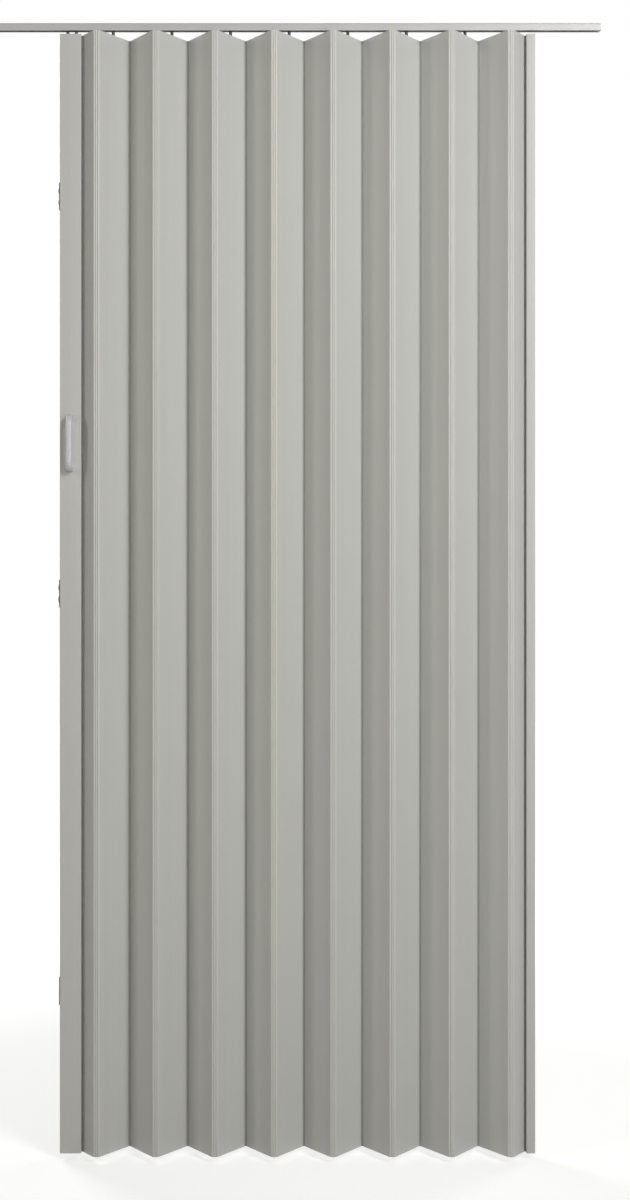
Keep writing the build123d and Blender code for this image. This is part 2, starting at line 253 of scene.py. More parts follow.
def block(low_x, low_y, high_x, high_y):
    return [(low_x, low_y), (high_x, low_y), (high_x, high_y), (low_x, high_y)]


def rounded(outline, radius, steps=3, corners=None):
    """Outline with all its corners, or the numbered ones, rounded."""
    result = []
    for i, corner in enumerate(outline):
        if corners is not None and i not in corners:
            result.append(corner)
            continue
        here = Vector(corner)
        before = (Vector(outline[i - 1]) - here).normalized()
        after = (Vector(outline[(i + 1) % len(outline)]) - here).normalized()
        start, finish = here + before * radius, here + after * radius
        for k in range(steps + 1):
            t = k / steps
            point = start * (1 - t) ** 2 + here * 2 * t * (1 - t) + finish * t ** 2
            result.append((point.x, point.y))
    return result


def round_outline(radius, segments):
    return [(radius * cos(2 * pi * i / segments), radius * sin(2 * pi * i / segments))
            for i in range(segments)]


def inset(outline, distance):
    """Outline moved into the material, which lies on its left."""
    result = []
    for i, corner in enumerate(outline):
        here = Vector(corner)
        before = (here - Vector(outline[i - 1])).normalized()
        after = (Vector(outline[(i + 1) % len(outline)]) - here).normalized()
        middle = Vector((-before.y - after.y, before.x + after.x))
        if middle.length < 1e-6:
            middle = Vector((-before.y, before.x))
        middle.normalize()
        stretch = max(0.5, middle.dot(Vector((-before.y, before.x))))
        moved = here + middle * distance / stretch
        result.append((moved.x, moved.y))
    return result


# Meshes

def plane(origin, x_dir, z_dir):
    """Matrix from an outline's x, y and height to the door's frame."""
    x = Vector(x_dir).normalized()
    z = Vector(z_dir).normalized()
    y = z.cross(x)
    rows = [(x[i], y[i], z[i], origin[i]) for i in range(3)]
    return Matrix((*rows, (0, 0, 0, 1)))


upright = plane((0, 0, 0), (1, 0, 0), (0, 0, 1))


def add_prism(mesh, outline, place, low, high, holes=(), ease=0.0):
    """Extrude an outline with holes from low to high into a bmesh, with bevelled ends."""
    loops = [outline, *(list(reversed(hole)) for hole in holes)]
    levels = [(low, 0.0), (high, 0.0)]
    if ease:
        levels = [(low, ease), (low + ease, 0.0), (high - ease, 0.0), (high, ease)]
    rings = []
    for level, step in levels:
        ring = []
        for loop in loops:
            points = inset(loop, step) if step else loop
            ring.append([mesh.verts.new(place @ Vector((x, y, level))) for x, y in points])
        rings.append(ring)
    faces = []
    for lower, upper in zip(rings, rings[1:]):
        for bottom, top in zip(lower, upper):
            for i in range(len(bottom)):
                k = (i + 1) % len(bottom)
                faces.append(mesh.faces.new((bottom[i], bottom[k], top[k], top[i])))
    for ring, level in ((rings[0], levels[0][0]), (rings[-1], levels[-1][0])):
        flat = [[Vector((x, y, 0)) for x, y in loop] for loop in loops]
        corners = [vertex for loop in ring for vertex in loop]
        for a, b, c in tessellate_polygon(flat):
            faces.append(mesh.faces.new((corners[a], corners[b], corners[c])))
    bmesh.ops.recalc_face_normals(mesh, faces=faces)


def add_tube(mesh, rings):
    """Closed skin over a list of rings of points; an end ring is filled by a fan of triangles."""
    made = [[mesh.verts.new(point) for point in ring] for ring in rings]
    faces = []
    for lower, upper in zip(made, made[1:]):
        for i in range(len(lower)):
            k = (i + 1) % len(lower)
            faces.append(mesh.faces.new((lower[i], lower[k], upper[k], upper[i])))
    for ring in (made[0], made[-1]):
        middle = mesh.verts.new(sum((v.co for v in ring), Vector()) / len(ring))
        for i in range(len(ring)):
            faces.append(mesh.faces.new((ring[i], ring[(i + 1) % len(ring)], middle)))
    bmesh.ops.recalc_face_normals(mesh, faces=faces)


def add_turned(mesh, profile, place, segments=32):
    """Turned form from (radius, height) points about the third axis of place."""
    rings = []
    for radius, height in profile:
        ring = [place @ Vector((x, y, height)) for x, y in round_outline(radius, segments)]
        rings.append(ring)
    add_tube(mesh, rings)


def smooth(data, sharp):
    """Shade a mesh smooth apart from its edges sharper than an angle in degrees."""
    data.polygons.foreach_set("use_smooth", [True] * len(data.polygons))
    data.set_sharp_from_angle(angle=radians(sharp))


def new_object(name, mesh, sharp=38):
    """Object from a bmesh."""
    data = bpy.data.meshes.new(name)
    mesh.to_mesh(data)
    mesh.free()
    smooth(data, sharp)
    piece = bpy.data.objects.new(name, data)
    bpy.context.scene.collection.objects.link(piece)
    return piece


def cut(piece, cutters, sharp=38):
    """Take the cutters out of a piece for good."""
    for cutter in cutters:
        take = piece.modifiers.new("cut", "BOOLEAN")
        take.operation = "DIFFERENCE"
        take.solver = "EXACT"
        take.object = cutter
    graph = bpy.context.evaluated_depsgraph_get()
    carved = bpy.data.meshes.new_from_object(piece.evaluated_get(graph), depsgraph=graph)
    old = piece.data
    piece.modifiers.clear()
    piece.data = carved
    carved.name = old.name
    bpy.data.meshes.remove(old)
    smooth(carved, sharp)
    for cutter in cutters:
        data = cutter.data
        bpy.data.objects.remove(cutter)
        bpy.data.meshes.remove(data)


def body_of(node):
    return frame["nodes"][node]["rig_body"]


def nodes_like(word):
    """Each node with the word in its name, with its body and its lowest and highest corners."""
    for node in sorted(frame["nodes"]):
        if word in node:
            yield node, body_of(node), *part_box(node)


# Shader nodes

def fill_inputs(tree, node, inputs):
    """Set a node's inputs, each to a value or to a link from another node's socket."""
    for label, value in inputs.items():
        if isinstance(value, bpy.types.NodeSocket):
            tree.links.new(value, node.inputs[label])
        else:
            node.inputs[label].default_value = value


def add_node(tree, kind, inputs=None, **settings):
    node = tree.nodes.new(f"ShaderNode{kind}")
    for setting, value in settings.items():
        setattr(node, setting, value)
    fill_inputs(tree, node, inputs or {})
    return node


def own_place(tree):
    """Place of a point of the piece at rest, in metres."""
    return add_node(tree, "TexCoord").outputs["Object"]


def own_coordinate(tree, axis):
    return add_node(tree, "SeparateXYZ", {0: own_place(tree)}).outputs[axis]


def arithmetic(tree, operation, first, second=0.0):
    return add_node(tree, "Math", {0: first, 1: second}, operation=operation).outputs[0]


def blended(tree, first, first_share, second, second_share):
    """Sum of two values, each times its share."""
    return arithmetic(tree, "ADD", arithmetic(tree, "MULTIPLY", first, first_share),
                      arithmetic(tree, "MULTIPLY", second, second_share))


def span(tree, value, low, high, start=0.0, stop=1.0):
    """Map start to stop onto low to high."""
    inputs = {"Value": value, "From Min": start, "From Max": stop, "To Min": low, "To Max": high}
    return add_node(tree, "MapRange", inputs).outputs["Result"]


def stretched_noise(tree, scales, detail):
    """Noise with a scale along each axis."""
    stretch = add_node(tree, "Mapping", {"Vector": own_place(tree), "Scale": scales})
    inputs = {"Vector": stretch.outputs[0], "Scale": 1.0, "Detail": detail, "Roughness": 0.5}
    return add_node(tree, "TexNoise", inputs).outputs[0]


def ramp(tree, factor, stops):
    """Colour ramp from (position, colour) pairs."""
    node = add_node(tree, "ValToRGB", {"Fac": factor})
    elements = node.color_ramp.elements
    while len(elements) < len(stops):
        elements.new(0.5)
    for element, (position, tint) in zip(elements, stops):
        element.position = position
        element.color = (*tint, 1.0)
    return node.outputs["Color"]


def tinted(base, factor):
    return tuple(min(1.0, value * factor) for value in base)


def tint_below(tree, value, low, high, tint):
    """Turn the base colour to another one where value is under low, and leave it over high."""
    shader = tree.nodes["Principled BSDF"]
    clean = shader.inputs["Base Color"].links[0].from_socket
    inputs = {"Factor": span(tree, value, 0.0, 1.0, low, high), "A": (*tint, 1.0), "B": clean}
    mix = add_node(tree, "Mix", inputs, data_type="RGBA")
    fill_inputs(tree, shader, {"Base Color": mix.outputs["Result"]})


# Shader node groups that several finishes share

def new_group(name, inputs, outputs):
    """Empty shader node group with named number inputs and outputs."""
    group = bpy.data.node_groups.new(name, "ShaderNodeTree")
    for label, default in inputs.items():
        socket = group.interface.new_socket(label, in_out="INPUT", socket_type="NodeSocketFloat")
        socket.default_value = default
    for label in outputs:
        group.interface.new_socket(label, in_out="OUTPUT", socket_type="NodeSocketFloat")
    return group, group.nodes.new("NodeGroupInput"), group.nodes.new("NodeGroupOutput")


def make_extrusion_lines(name):
    """Faint lines that the die leaves along an upright extrusion, and its drift in shade."""
    group, start, end = new_group(name, {"Strength": 1.0}, ["Shade", "Height"])
    lines = stretched_noise(group, (420.0, 420.0, 0.8), 3.0)
    bands = stretched_noise(group, (70.0, 70.0, 0.35), 2.0)
    drift = stretched_noise(group, (5.0, 5.0, 2.2), 3.0)
    both = blended(group, lines, 0.45, bands, 0.55)
    centred = arithmetic(group, "SUBTRACT", blended(group, both, 0.7, drift, 0.3), 0.5)
    scaled = arithmetic(group, "MULTIPLY", centred, start.outputs["Strength"])
    fill_inputs(group, end, {"Shade": arithmetic(group, "ADD", scaled, 0.5), "Height": both})
    return group


def make_fine_grain(name):
    """Small even grain of a moulded or coated surface."""
    group, start, end = new_group(name, {"Scale": 900.0, "Amount": 1.0}, ["Height", "Polish"])
    inputs = {"Vector": own_place(group), "Scale": start.outputs["Scale"], "Detail": 4.0}
    noise = add_node(group, "TexNoise", inputs).outputs[0]
    height = arithmetic(group, "MULTIPLY", noise, start.outputs["Amount"])
    polish = stretched_noise(group, (38.0, 38.0, 12.0), 3.0)
    fill_inputs(group, end, {"Height": height, "Polish": polish})
    return group


def effect(tree, name, inputs):
    """Outputs of a shared effect, placed in a material with its own values."""
    makers = {"extrusion_lines": make_extrusion_lines, "fine_grain": make_fine_grain}
    group = bpy.data.node_groups.get(name) or makers[name](name)
    return add_node(tree, "Group", inputs, node_tree=group).outputs


# Finishes

def new_material(name, relief_strength, relief_depth, surface):
    """Material whose inputs, and the height of its relief, surface(tree) gives."""
    material = bpy.data.materials.new(name)
    material.use_nodes = True
    tree = material.node_tree
    inputs, height = surface(tree)
    bump = add_node(tree, "Bump", {
        "Height": height, "Strength": relief_strength, "Distance": relief_depth,
    })
    fill_inputs(tree, tree.nodes["Principled BSDF"], inputs | {"Normal": bump.outputs["Normal"]})
    return material


def extruded_vinyl(name, base, spread=0.035, roughness=0.42, line_depth=0.00006):
    """Satin vinyl with die lines, drift in shade and a fine grain."""
    def surface(tree):
        lines = effect(tree, "extrusion_lines", {"Strength": 1.0})
        grain = effect(tree, "fine_grain", {"Scale": 1400.0, "Amount": 1.0})
        shades = [(0.25, tinted(base, 1 - spread)), (0.5, base), (0.75, tinted(base, 1 + spread))]
        return {
            "Base Color": ramp(tree, lines["Shade"], shades),
            "Roughness": span(tree, grain["Polish"], roughness - 0.06, roughness + 0.06),
        }, blended(tree, lines["Height"], 1.0, grain["Height"], 0.5)
    return new_material(name, 0.35, line_depth, surface)


def strip_vinyl(name, base, painted_gap_shade):
    """Soft vinyl with painted shade in the gap between two slats, and its plain colour on the caps."""
    tree = extruded_vinyl(name, base, 0.05, 0.36, 0.00005).node_tree
    thickness = bpy.context.scene.folding_door_sizes.slat_thickness
    fold_face = max(abs(begin.y) for begin in begins.values()) + thickness / 2
    depth = arithmetic(tree, "ABSOLUTE", own_coordinate(tree, "Y"))
    # Painted shade: away from the fold's outer face, down in the gap, the strip takes the shade colour
    tint_below(tree, depth, fold_face - thickness * 0.2, fold_face, painted_gap_shade)


def coated_steel(name, base, underside_shade):
    """Rolled steel with faint rolling lines along the track, and painted shade on its underside."""
    def surface(tree):
        rolling = stretched_noise(tree, (1.4, 500.0, 500.0), 3.0)
        grain = effect(tree, "fine_grain", {"Scale": 2200.0, "Amount": 1.0})
        return {
            "Base Color": ramp(tree, rolling, [(0.3, tinted(base, 0.97)), (0.7, tinted(base, 1.03))]),
            "Roughness": span(tree, grain["Polish"], 0.32, 0.44),
            "Metallic": 0.1,
        }, blended(tree, rolling, 1.0, grain["Height"], 0.4)
    tree = new_material(name, 0.15, 0.00002, surface).node_tree
    sheet = bpy.context.scene.folding_door_sizes.track_sheet
    underside = track_low.z + sheet * 0.2
    # Painted shade: the underside of the track takes the darker shade colour
    tint_below(tree, own_coordinate(tree, "Z"), underside, underside + sheet * 0.6, underside_shade)


def moulded(name, base, roughness, grain_scale, depth, coat=0.0):
    """Injection moulded plastic with a fine grain and uneven polish."""
    def surface(tree):
        grain = effect(tree, "fine_grain", {"Scale": grain_scale, "Amount": 1.0})
        shades = [(0.3, tinted(base, 0.94)), (0.7, tinted(base, 1.05))]
        return {
            "Base Color": ramp(tree, grain["Polish"], shades),
            "Roughness": span(tree, grain["Polish"], roughness - 0.05, roughness + 0.07),
            "Coat Weight": coat,
            "Coat Roughness": 0.09,
        }, grain["Height"]
    new_material(name, 0.3, depth, surface)


def worked_steel(name, base, roughness, metallic):
    """Pressed or turned steel with small scratches and darker stains."""
    def surface(tree):
        grain = effect(tree, "fine_grain", {"Scale": 2600.0, "Amount": 1.0})
        scratches = stretched_noise(tree, (2400.0, 2400.0, 160.0), 2.0)
        shades = [(0.3, tinted(base, 0.72)), (0.55, base), (0.8, tinted(base, 1.15))]
        return {
            "Base Color": ramp(tree, grain["Polish"], shades),
            "Roughness": span(tree, scratches, roughness - 0.1, roughness + 0.12),
            "Metallic": metallic,
        }, scratches
    new_material(name, 0.25, 0.00004, surface)


# Each finish: the record's material slot, and what makes it from the colours that are set
finishes = {
    "satin_vinyl": ("vinyl", lambda name, tones: extruded_vinyl(name, tones.vinyl)),
    "satin_post_vinyl": ("vinyl", lambda name, tones: extruded_vinyl(name, tones.post)),
    "soft_strip_vinyl": ("strip_vinyl", lambda name, tones: strip_vinyl(name, tones.strip, tones.painted_gap_shade)),
    "coated_steel": ("track_steel",
                     lambda name, tones: coated_steel(name, tones.track, tones.track_underside_painted_shade)),
    "glide_nylon": ("glide_plastic", lambda name, tones: moulded(name, tones.glide, 0.4, 1800.0, 0.00005)),
    "plug_nylon": ("glide_plastic", lambda name, tones: moulded(name, tones.plug, 0.45, 1500.0, 0.00006)),
    "handle_plastic": ("handle_plastic",
                       lambda name, tones: moulded(name, tones.handle, 0.34, 1200.0, 0.00002, 0.5)),
    "plated_steel": ("screw_steel", lambda name, tones: worked_steel(name, tones.screw, 0.25, 1.0)),
    "blackened_steel": ("catch_steel", lambda name, tones: worked_steel(name, tones.catch, 0.42, 0.8)),
}


def stand_in(name, mesh, finish, node, sharp=38):
    """Piece that stands for a node of the construction and moves with it."""
    slot, build = finishes[finish]
    if finish not in bpy.data.materials:
        build(finish, bpy.context.scene.folding_door_finish)
    piece = new_object(name, mesh, sharp)
    piece.data.materials.append(bpy.data.materials[finish])
    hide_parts(node)
    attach(piece, body_of(node))
    return piece


# Slats

def slat_outline(length, mouth_from, mouth_to, turn, sizes):
    """Outer outline of a slat, with an open bead socket at each end."""
    edge = sizes.slat_thickness / 2
    socket = sizes.bead_radius + sizes.bead_clearance
    far_lip = edge / abs(sin(radians(mouth_to)))
    reach = far_lip * abs(cos(radians(mouth_to)))
    inner = arc((0, 0), socket, mouth_to - 180, mouth_from + 180, 30)
    outer = arc((0, 0), edge, mouth_from + 180, 90, 14)
    left = [(reach, -edge), *inner, *outer]
    right = [(length - x, -y) for x, y in left]
    outline = [*left, *right]
    # The outline runs clockwise, and turn < 0 mirrors it
    if turn > 0:
        return list(reversed(outline))
    return [(x, -y) for x, y in outline]


def cell_width(length, cells, sizes):
    """Width of each hollow cell of a slat with a length between its hinge axes."""
    hollow = length - 2 * (sizes.bead_radius + sizes.bead_clearance + sizes.slat_wall)
    return (hollow - (cells - 1) * sizes.slat_rib) / cells


def add_slat(mesh, start, end, low, high, cells, sizes):
    """Hollow slat between two hinge axes."""
    run = Vector((end.x - start.x, end.y - start.y))
    length = run.length
    lean = degrees(atan2(abs(run.y), abs(run.x)))
    turn = 1 if run.y > 0 else -1
    socket = sizes.bead_radius + sizes.bead_clearance
    neck = degrees(asin(sizes.neck_thickness / 2 / socket))
    spare = degrees(sizes.mouth_clearance)
    mouth_from = lean + fold_range[0] - neck - spare
    mouth_to = lean + fold_range[1] + neck + spare
    outline = slat_outline(length, mouth_from, mouth_to, turn, sizes)
    cell = cell_width(length, cells, sizes)
    half = sizes.slat_thickness / 2 - sizes.slat_wall
    holes = []
    for i in range(cells):
        middle = length / 2 + (i - (cells - 1) / 2) * (cell + sizes.slat_rib)
        opening = block(middle - cell / 2, -half, middle + cell / 2, half)
        holes.append(rounded(opening, sizes.cell_round))
    place = plane((start.x, start.y, 0), (run.x, run.y, 0), (0, 0, 1))
    add_prism(mesh, outline, place, low, high, holes, sizes.end_ease)


class FOLDINGDOOR_OT_slats(bpy.types.Operator):
    """Make the hollow slats"""
    bl_idname = "folding_door.slats"
    bl_label = "Slats"

    def execute(self, context):
        sizes = context.scene.folding_door_sizes
        for node, body, low, high in nodes_like("panel"):
            cells = sizes.half_slat_cells if node.startswith("half") else sizes.slat_cells
            mesh = bmesh.new()
            add_slat(mesh, begins[body], ends[body], low.z, high.z, cells, sizes)
            stand_in(f"slat_{node}", mesh, "satin_vinyl", node)
        return {"FINISHED"}


# Hinge strips

def strip_outline(pitch, cap, sizes):
    """Two beads on a neck, from (0, 0) to (pitch, 0); the cap lies on the -y side."""
    half_neck = sizes.neck_thickness / 2
    bead = sizes.bead_radius
    lean = degrees(asin(half_neck / bead))
    right_bead = arc((pitch, 0), bead, lean - 180, 180 - lean, 30)
    left_bead = arc((0, 0), bead, lean, 360 - lean, 30)
    if not cap:
        return [*right_bead, *left_bead]
    shadow = sizes.slat_thickness / 2 + sizes.cap_gap
    width = sizes.cap_width - 2 * sizes.cap_groove
    edge_x = (pitch - width) / 2
    edge_top = -(shadow ** 2 - edge_x ** 2) ** 0.5
    under = degrees(asin(edge_x / shadow))
    neck_turn = degrees(asin(half_neck / shadow))
    cap_low = -(shadow + sizes.cap_edge / 2)
    left_web = arc((0, 0), shadow, -neck_turn, under - 90, 8)
    steps = 12
    crown = [
        (edge_x + width * i / steps,
         cap_low - sizes.cap_crown * (1 - (2 * i / steps - 1) ** 2))
        for i in range(steps + 1)
    ]
    free_edge = (edge_x, edge_top)
    edge_round = sizes.cap_edge * 0.35
    cap_points = rounded([left_web[-2], free_edge, crown[0], crown[1]], edge_round, 3, (1, 2))
    left_half = [*left_web[:-2], *cap_points[:-1]]
    right_half = [(pitch - x, y) for x, y in reversed(left_half)]
    return [*right_bead, *left_bead, *left_half, *crown[1:-1], *right_half]


def add_strip(mesh, first, last, low, high, cap, side, sizes):
    """Hinge strip between two bead axes; side is -1 for a cap in front and +1 behind."""
    pitch = (last - first).length
    left, right = sorted((first, last), key=lambda bead: -side * bead.x)
    place = plane((left.x, left.y, 0), (right.x - left.x, 0, 0), (0, 0, 1))
    add_prism(mesh, strip_outline(pitch, cap, sizes), place, low, high, (), sizes.end_ease)


class FOLDINGDOOR_OT_strips(bpy.types.Operator):
    """Make the hinge strips of the folds and posts"""
    bl_idname = "folding_door.strips"
    bl_label = "Hinge strips"

    def execute(self, context):
        sizes = context.scene.folding_door_sizes
        for node, body, low, high in nodes_like("strip"):
            cap = not node.endswith("post_strip")
            if cap:
                first, last = begins[body], ends[body]
            else:
                first = Vector((low.x + sizes.bead_radius, 0, 0))
                last = Vector((high.x - sizes.bead_radius, 0, 0))
            first, last = first.xy.to_3d(), last.xy.to_3d()
            side = 1 if first.y > 0 else -1
            mesh = bmesh.new()
            add_strip(mesh, first, last, low.z, high.z, cap, side, sizes)
            stand_in(f"soft_{node}", mesh, "soft_strip_vinyl", node)
        return {"FINISHED"}


# Posts

def post_outlines(width, depth, bead_in, groove, sizes):
    """Outer outline and hollow of a post; x runs inward from its hinge side."""
    half = depth / 2
    wall = sizes.post_wall
    socket = sizes.bead_radius + sizes.bead_clearance
    slot = sizes.neck_thickness / 2 + sizes.slot_clearance
    boss = socket + sizes.post_socket_wall
    lean = degrees(asin(slot / socket))
    around = arc((bead_in, 0), socket, 180 - lean, lean - 180, 32)
    outer_side = [(width, -half), (width, half)]
    hollow_side = [(width - wall, wall - half), (width - wall, half - wall)]
    if groove:
        mouth, inside = sizes.groove_mouth / 2, sizes.groove_width / 2
        floor = width - wall - sizes.groove_depth
        outer_side[1:1] = [
            (width, -mouth), (width - wall, -mouth), (width - wall, -inside), (floor, -inside),
            (floor, inside), (width - wall, inside), (width - wall, mouth), (width, mouth),
        ]
        around_groove = inside + sizes.groove_wall
        behind = floor - sizes.groove_wall
        hollow_side[1:1] = [
            (width - wall, -around_groove), (behind, -around_groove),
            (behind, around_groove), (width - wall, around_groove),
        ]
    corners = [(0, -half), *outer_side, (0, half), (0, slot)]
    last = len(outer_side)
    outline = rounded(corners, sizes.post_corner, 8, (0, 1, last, last + 1))
    outline += [*around, (0, -slot)]
    left_boss = [(wall, boss), (bead_in, boss), *arc((bead_in, 0), boss, 84, -84, 24),
                 (bead_in, -boss), (wall, -boss)]
    hollow = [(wall, half - wall), *left_boss, (wall, wall - half), *hollow_side]
    return outline, hollow


def make_post(name, node, face, inward, groove, sizes):
    """Hollow post whose hinge side is at x = face, running inward (+1 or -1)."""
    low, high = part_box(node)
    strip_low, strip_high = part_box(f"{node}_strip")
    inner_bead = strip_high.x - sizes.bead_radius if inward > 0 else strip_low.x + sizes.bead_radius
    bead_in = abs(inner_bead - face)
    outline, hollow = post_outlines(high.x - low.x, high.y - low.y, bead_in, groove, sizes)
    place = plane((face, 0, 0), (1, 0, 0), (0, 0, 1))
    if inward < 0:
        outline = [(-x, y) for x, y in reversed(outline)]
        hollow = [(-x, y) for x, y in reversed(hollow)]
    mesh = bmesh.new()
    add_prism(mesh, outline, place, low.z, high.z, [hollow], sizes.end_ease)
    return stand_in(name, mesh, "satin_post_vinyl", node)


def cutter(outline, place, low, high):
    mesh = bmesh.new()
    add_prism(mesh, outline, place, low, high)
    return new_object("cutter", mesh)


def line_of_holes(prefix, spacing, along):
    """Centres of the screw holes that the record gives as pairs on a line."""
    places = []
    for mount in frame["record"]["mounts"]:
        if mount["name"].startswith(prefix):
            for side in (-0.5, 0.5):
                step = Vector(along) * side * mount["dims"][spacing] / 1000
                places.append(Vector(mount["pos_m"]) + step)
    return places


def handle_levels():
    """Heights of the two handle screws."""
    low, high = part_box("handle_screws")
    head = bpy.context.scene.folding_door_sizes.screw_head
    return low.z + head, high.z - head


class FOLDINGDOOR_OT_posts(bpy.types.Operator):
    """Make the fixed post at the jamb and the lead post"""
    bl_idname = "folding_door.posts"
    bl_label = "Posts"

    def execute(self, context):
        sizes = context.scene.folding_door_sizes
        fixed = make_post("post_fixed", "fixed_post", fixed_post_low.x, 1, False, sizes)
        cutters = []
        wall = 2 * sizes.post_wall
        half = sizes.jamb_window / 2
        window = rounded(block(-half, -half, half, half), half * 0.3)
        hole = round_outline(sizes.jamb_hole, 28)
        for centre in line_of_holes("jamb_holes", "spacing_y_mm", (0, 0, 1)):
            outer = plane(centre, (0, 0, 1), (1, 0, 0))
            inner = plane((fixed_post_low.x, centre.y, centre.z), (0, 0, 1), (1, 0, 0))
            cutters.append(cutter(hole, outer, -wall, wall))
            cutters.append(cutter(window, inner, -wall, wall * 0.9))
        cut(fixed, cutters)
        lead = make_post("post_lead", "lead_post", lead_post_high.x, -1, True, sizes)
        middle = (lead_post_low.x + lead_post_high.x) / 2
        depth = lead_post_high.y - lead_post_low.y
        bore = round_outline(sizes.screw_shank + sizes.bead_clearance, 24)
        cut(lead, [cutter(bore, plane((middle, 0, level), (1, 0, 0), (0, 1, 0)), -depth, depth)
                   for level in handle_levels()])
        return {"FINISHED"}


# Track

def track_outline(width, height, sizes):
    """Channel with its slot underneath; x across the track, y up from its underside."""
    sheet = sizes.track_sheet
    half = width / 2
    slot = sizes.track_slot / 2
    outer = [(slot, 0), (half, 0), (half, height), (-half, height), (-half, 0), (-slot, 0)]
    inner = [(-slot, sheet), (sheet - half, sheet), (sheet - half, height - sheet),
             (half - sheet, height - sheet), (half - sheet, sheet), (slot, sheet)]
    outer = rounded(outer, sizes.track_corner, 6, (1, 2, 3, 4))
    inner = rounded(inner, sizes.track_corner - sheet, 4, (1, 2, 3, 4))
    return [*outer, *inner]


class FOLDINGDOOR_OT_track(bpy.types.Operator):
    """Make the rolled steel track"""
    bl_idname = "folding_door.track"
    bl_label = "Track"

    def execute(self, context):
        sizes = context.scene.folding_door_sizes
        width = track_high.y - track_low.y
        height = track_high.z - track_low.z
        place = plane((0, 0, track_low.z), (0, 1, 0), (1, 0, 0))
        mesh = bmesh.new()
        add_prism(mesh, track_outline(width, height, sizes), place, track_low.x, track_high.x, (),
                  sizes.end_ease)
        track = stand_in("track_channel", mesh, "coated_steel", "track")
        hole = round_outline(sizes.track_hole, 28)
        deep = 2 * sizes.track_sheet
        cut(track, [cutter(hole, plane(centre, (1, 0, 0), (0, 0, 1)), -deep, deep)
                    for centre in line_of_holes("track_holes", "spacing_x_mm", (1, 0, 0))])
        return {"FINISHED"}


# Glides and plug

def add_glide(mesh, centre, heading, high, sizes):
    """Round head and neck over a flat tongue with barbs."""
    along, across = (cos(heading), sin(heading), 0), (sin(heading), -cos(heading), 0)
    place = plane((centre.x, centre.y, 0), along, (0, 0, 1))
    head_low = high - sizes.glide_head_height
    soft = sizes.glide_neck * 0.1
    head, neck = sizes.glide_head, sizes.glide_neck
    dome = sizes.glide_head_height * 0.45
    profile = [
        (neck, door_top), (neck, head_low - soft), (neck + soft, head_low),
        (head - soft, head_low), (head, head_low + soft), (head, high - dome),
        (head - dome * 0.3, high - dome * 0.35), (head - dome * 0.95, high),
    ]
    add_turned(mesh, profile, place, 28)
    half = sizes.slat_thickness / 2 - sizes.slat_wall - sizes.tongue_clearance
    barb = full_cell_half(sizes) - sizes.tongue_clearance
    wide = sizes.tongue_width / 2
    bottom = door_top - sizes.tongue_length
    step = sizes.tongue_length / 2
    rise = sizes.barb_height
    side = [(wide, door_top)]
    for level in (door_top - step / 2, door_top - 3 * step / 2):
        side += [(wide, level), (barb, level), (barb, level - rise * 0.4), (wide, level - rise)]
    side += [(wide, bottom + wide * 0.4), (wide * 0.7, bottom)]
    outline = [(x, z) for x, z in reversed(side)] + [(-x, z) for x, z in side]
    add_prism(mesh, outline, plane((centre.x, centre.y, 0), along, across), -half, half)


def full_cell_half(sizes):
    """Half the width of a full slat's hollow cell."""
    pitch = (ends["slat_01"] - begins["slat_01"]).length
    return cell_width(pitch, sizes.slat_cells, sizes) / 2


class FOLDINGDOOR_OT_glides(bpy.types.Operator):
    """Make the track glides and the lead post's plug"""
    bl_idname = "folding_door.glides"
    bl_label = "Glides"

    def execute(self, context):
        sizes = context.scene.folding_door_sizes
        for node, body, low, high in nodes_like("glide_"):
            run = ends[body] - begins[body]
            mesh = bmesh.new()
            add_glide(mesh, (low + high) / 2, atan2(run.y, run.x), high.z, sizes)
            stand_in(f"round_{node}", mesh, "glide_nylon", node, 30)
        low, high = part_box("lead_glides")
        pair = (low.x + sizes.glide_head, high.x - sizes.glide_head)
        mesh = bmesh.new()
        for x in pair:
            add_glide(mesh, Vector((x, 0, 0)), pi / 2, high.z, sizes)
        stand_in("round_lead_glides", mesh, "glide_nylon", "lead_glides", 30)
        low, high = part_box("lead_top_plug")
        half = sizes.slat_thickness / 2 - sizes.slat_wall
        deep = full_cell_half(sizes)
        outline = rounded(block(low.x, low.y, high.x, high.y), sizes.post_corner)
        pockets = [rounded(block(x - half, -deep, x + half, deep), sizes.cell_round) for x in pair]
        mesh = bmesh.new()
        add_prism(mesh, outline, upright, low.z, high.z, pockets, sizes.end_ease * 2)
        stand_in("post_top_plug", mesh, "plug_nylon", "lead_top_plug")
        return {"FINISHED"}


# Handles and screws

def handle_section(sizes, segments=44, fullness=2.2):
    """Soft rounded section of the grip: (across, thickness) points."""
    points = []
    for i in range(segments):
        a = 2 * pi * i / segments
        x = copysign(abs(cos(a)) ** (2 / fullness), cos(a))
        y = copysign(abs(sin(a)) ** (2 / fullness), sin(a))
        points.append((x * sizes.handle_width / 2, y * sizes.handle_thickness / 2))
    return points


def handle_path(sizes, length, bend_steps=12, grip_steps=70):
    """(out, along, lean) stations of the bow from its lower foot to its upper one."""
    half = length / 2 - sizes.handle_thickness / 2
    bend = sizes.handle_bend
    level = sizes.handle_standoff
    foot = 0.0005
    stations = [(0.0, -half, 0.0), (foot, -half, 0.0), ((level - bend) / 2, -half, 0.0)]
    for i in range(bend_steps + 1):
        a = pi / 2 * i / bend_steps
        stations.append((level - bend * (1 - sin(a)), -half + bend * (1 - cos(a)), a))
    straight = half - bend
    for i in range(1, grip_steps):
        stations.append((level, -straight + 2 * straight * i / grip_steps, pi / 2))
    for out, along, lean in reversed(stations[: bend_steps + 4]):
        stations.append((out, -along, pi - lean))
    return stations


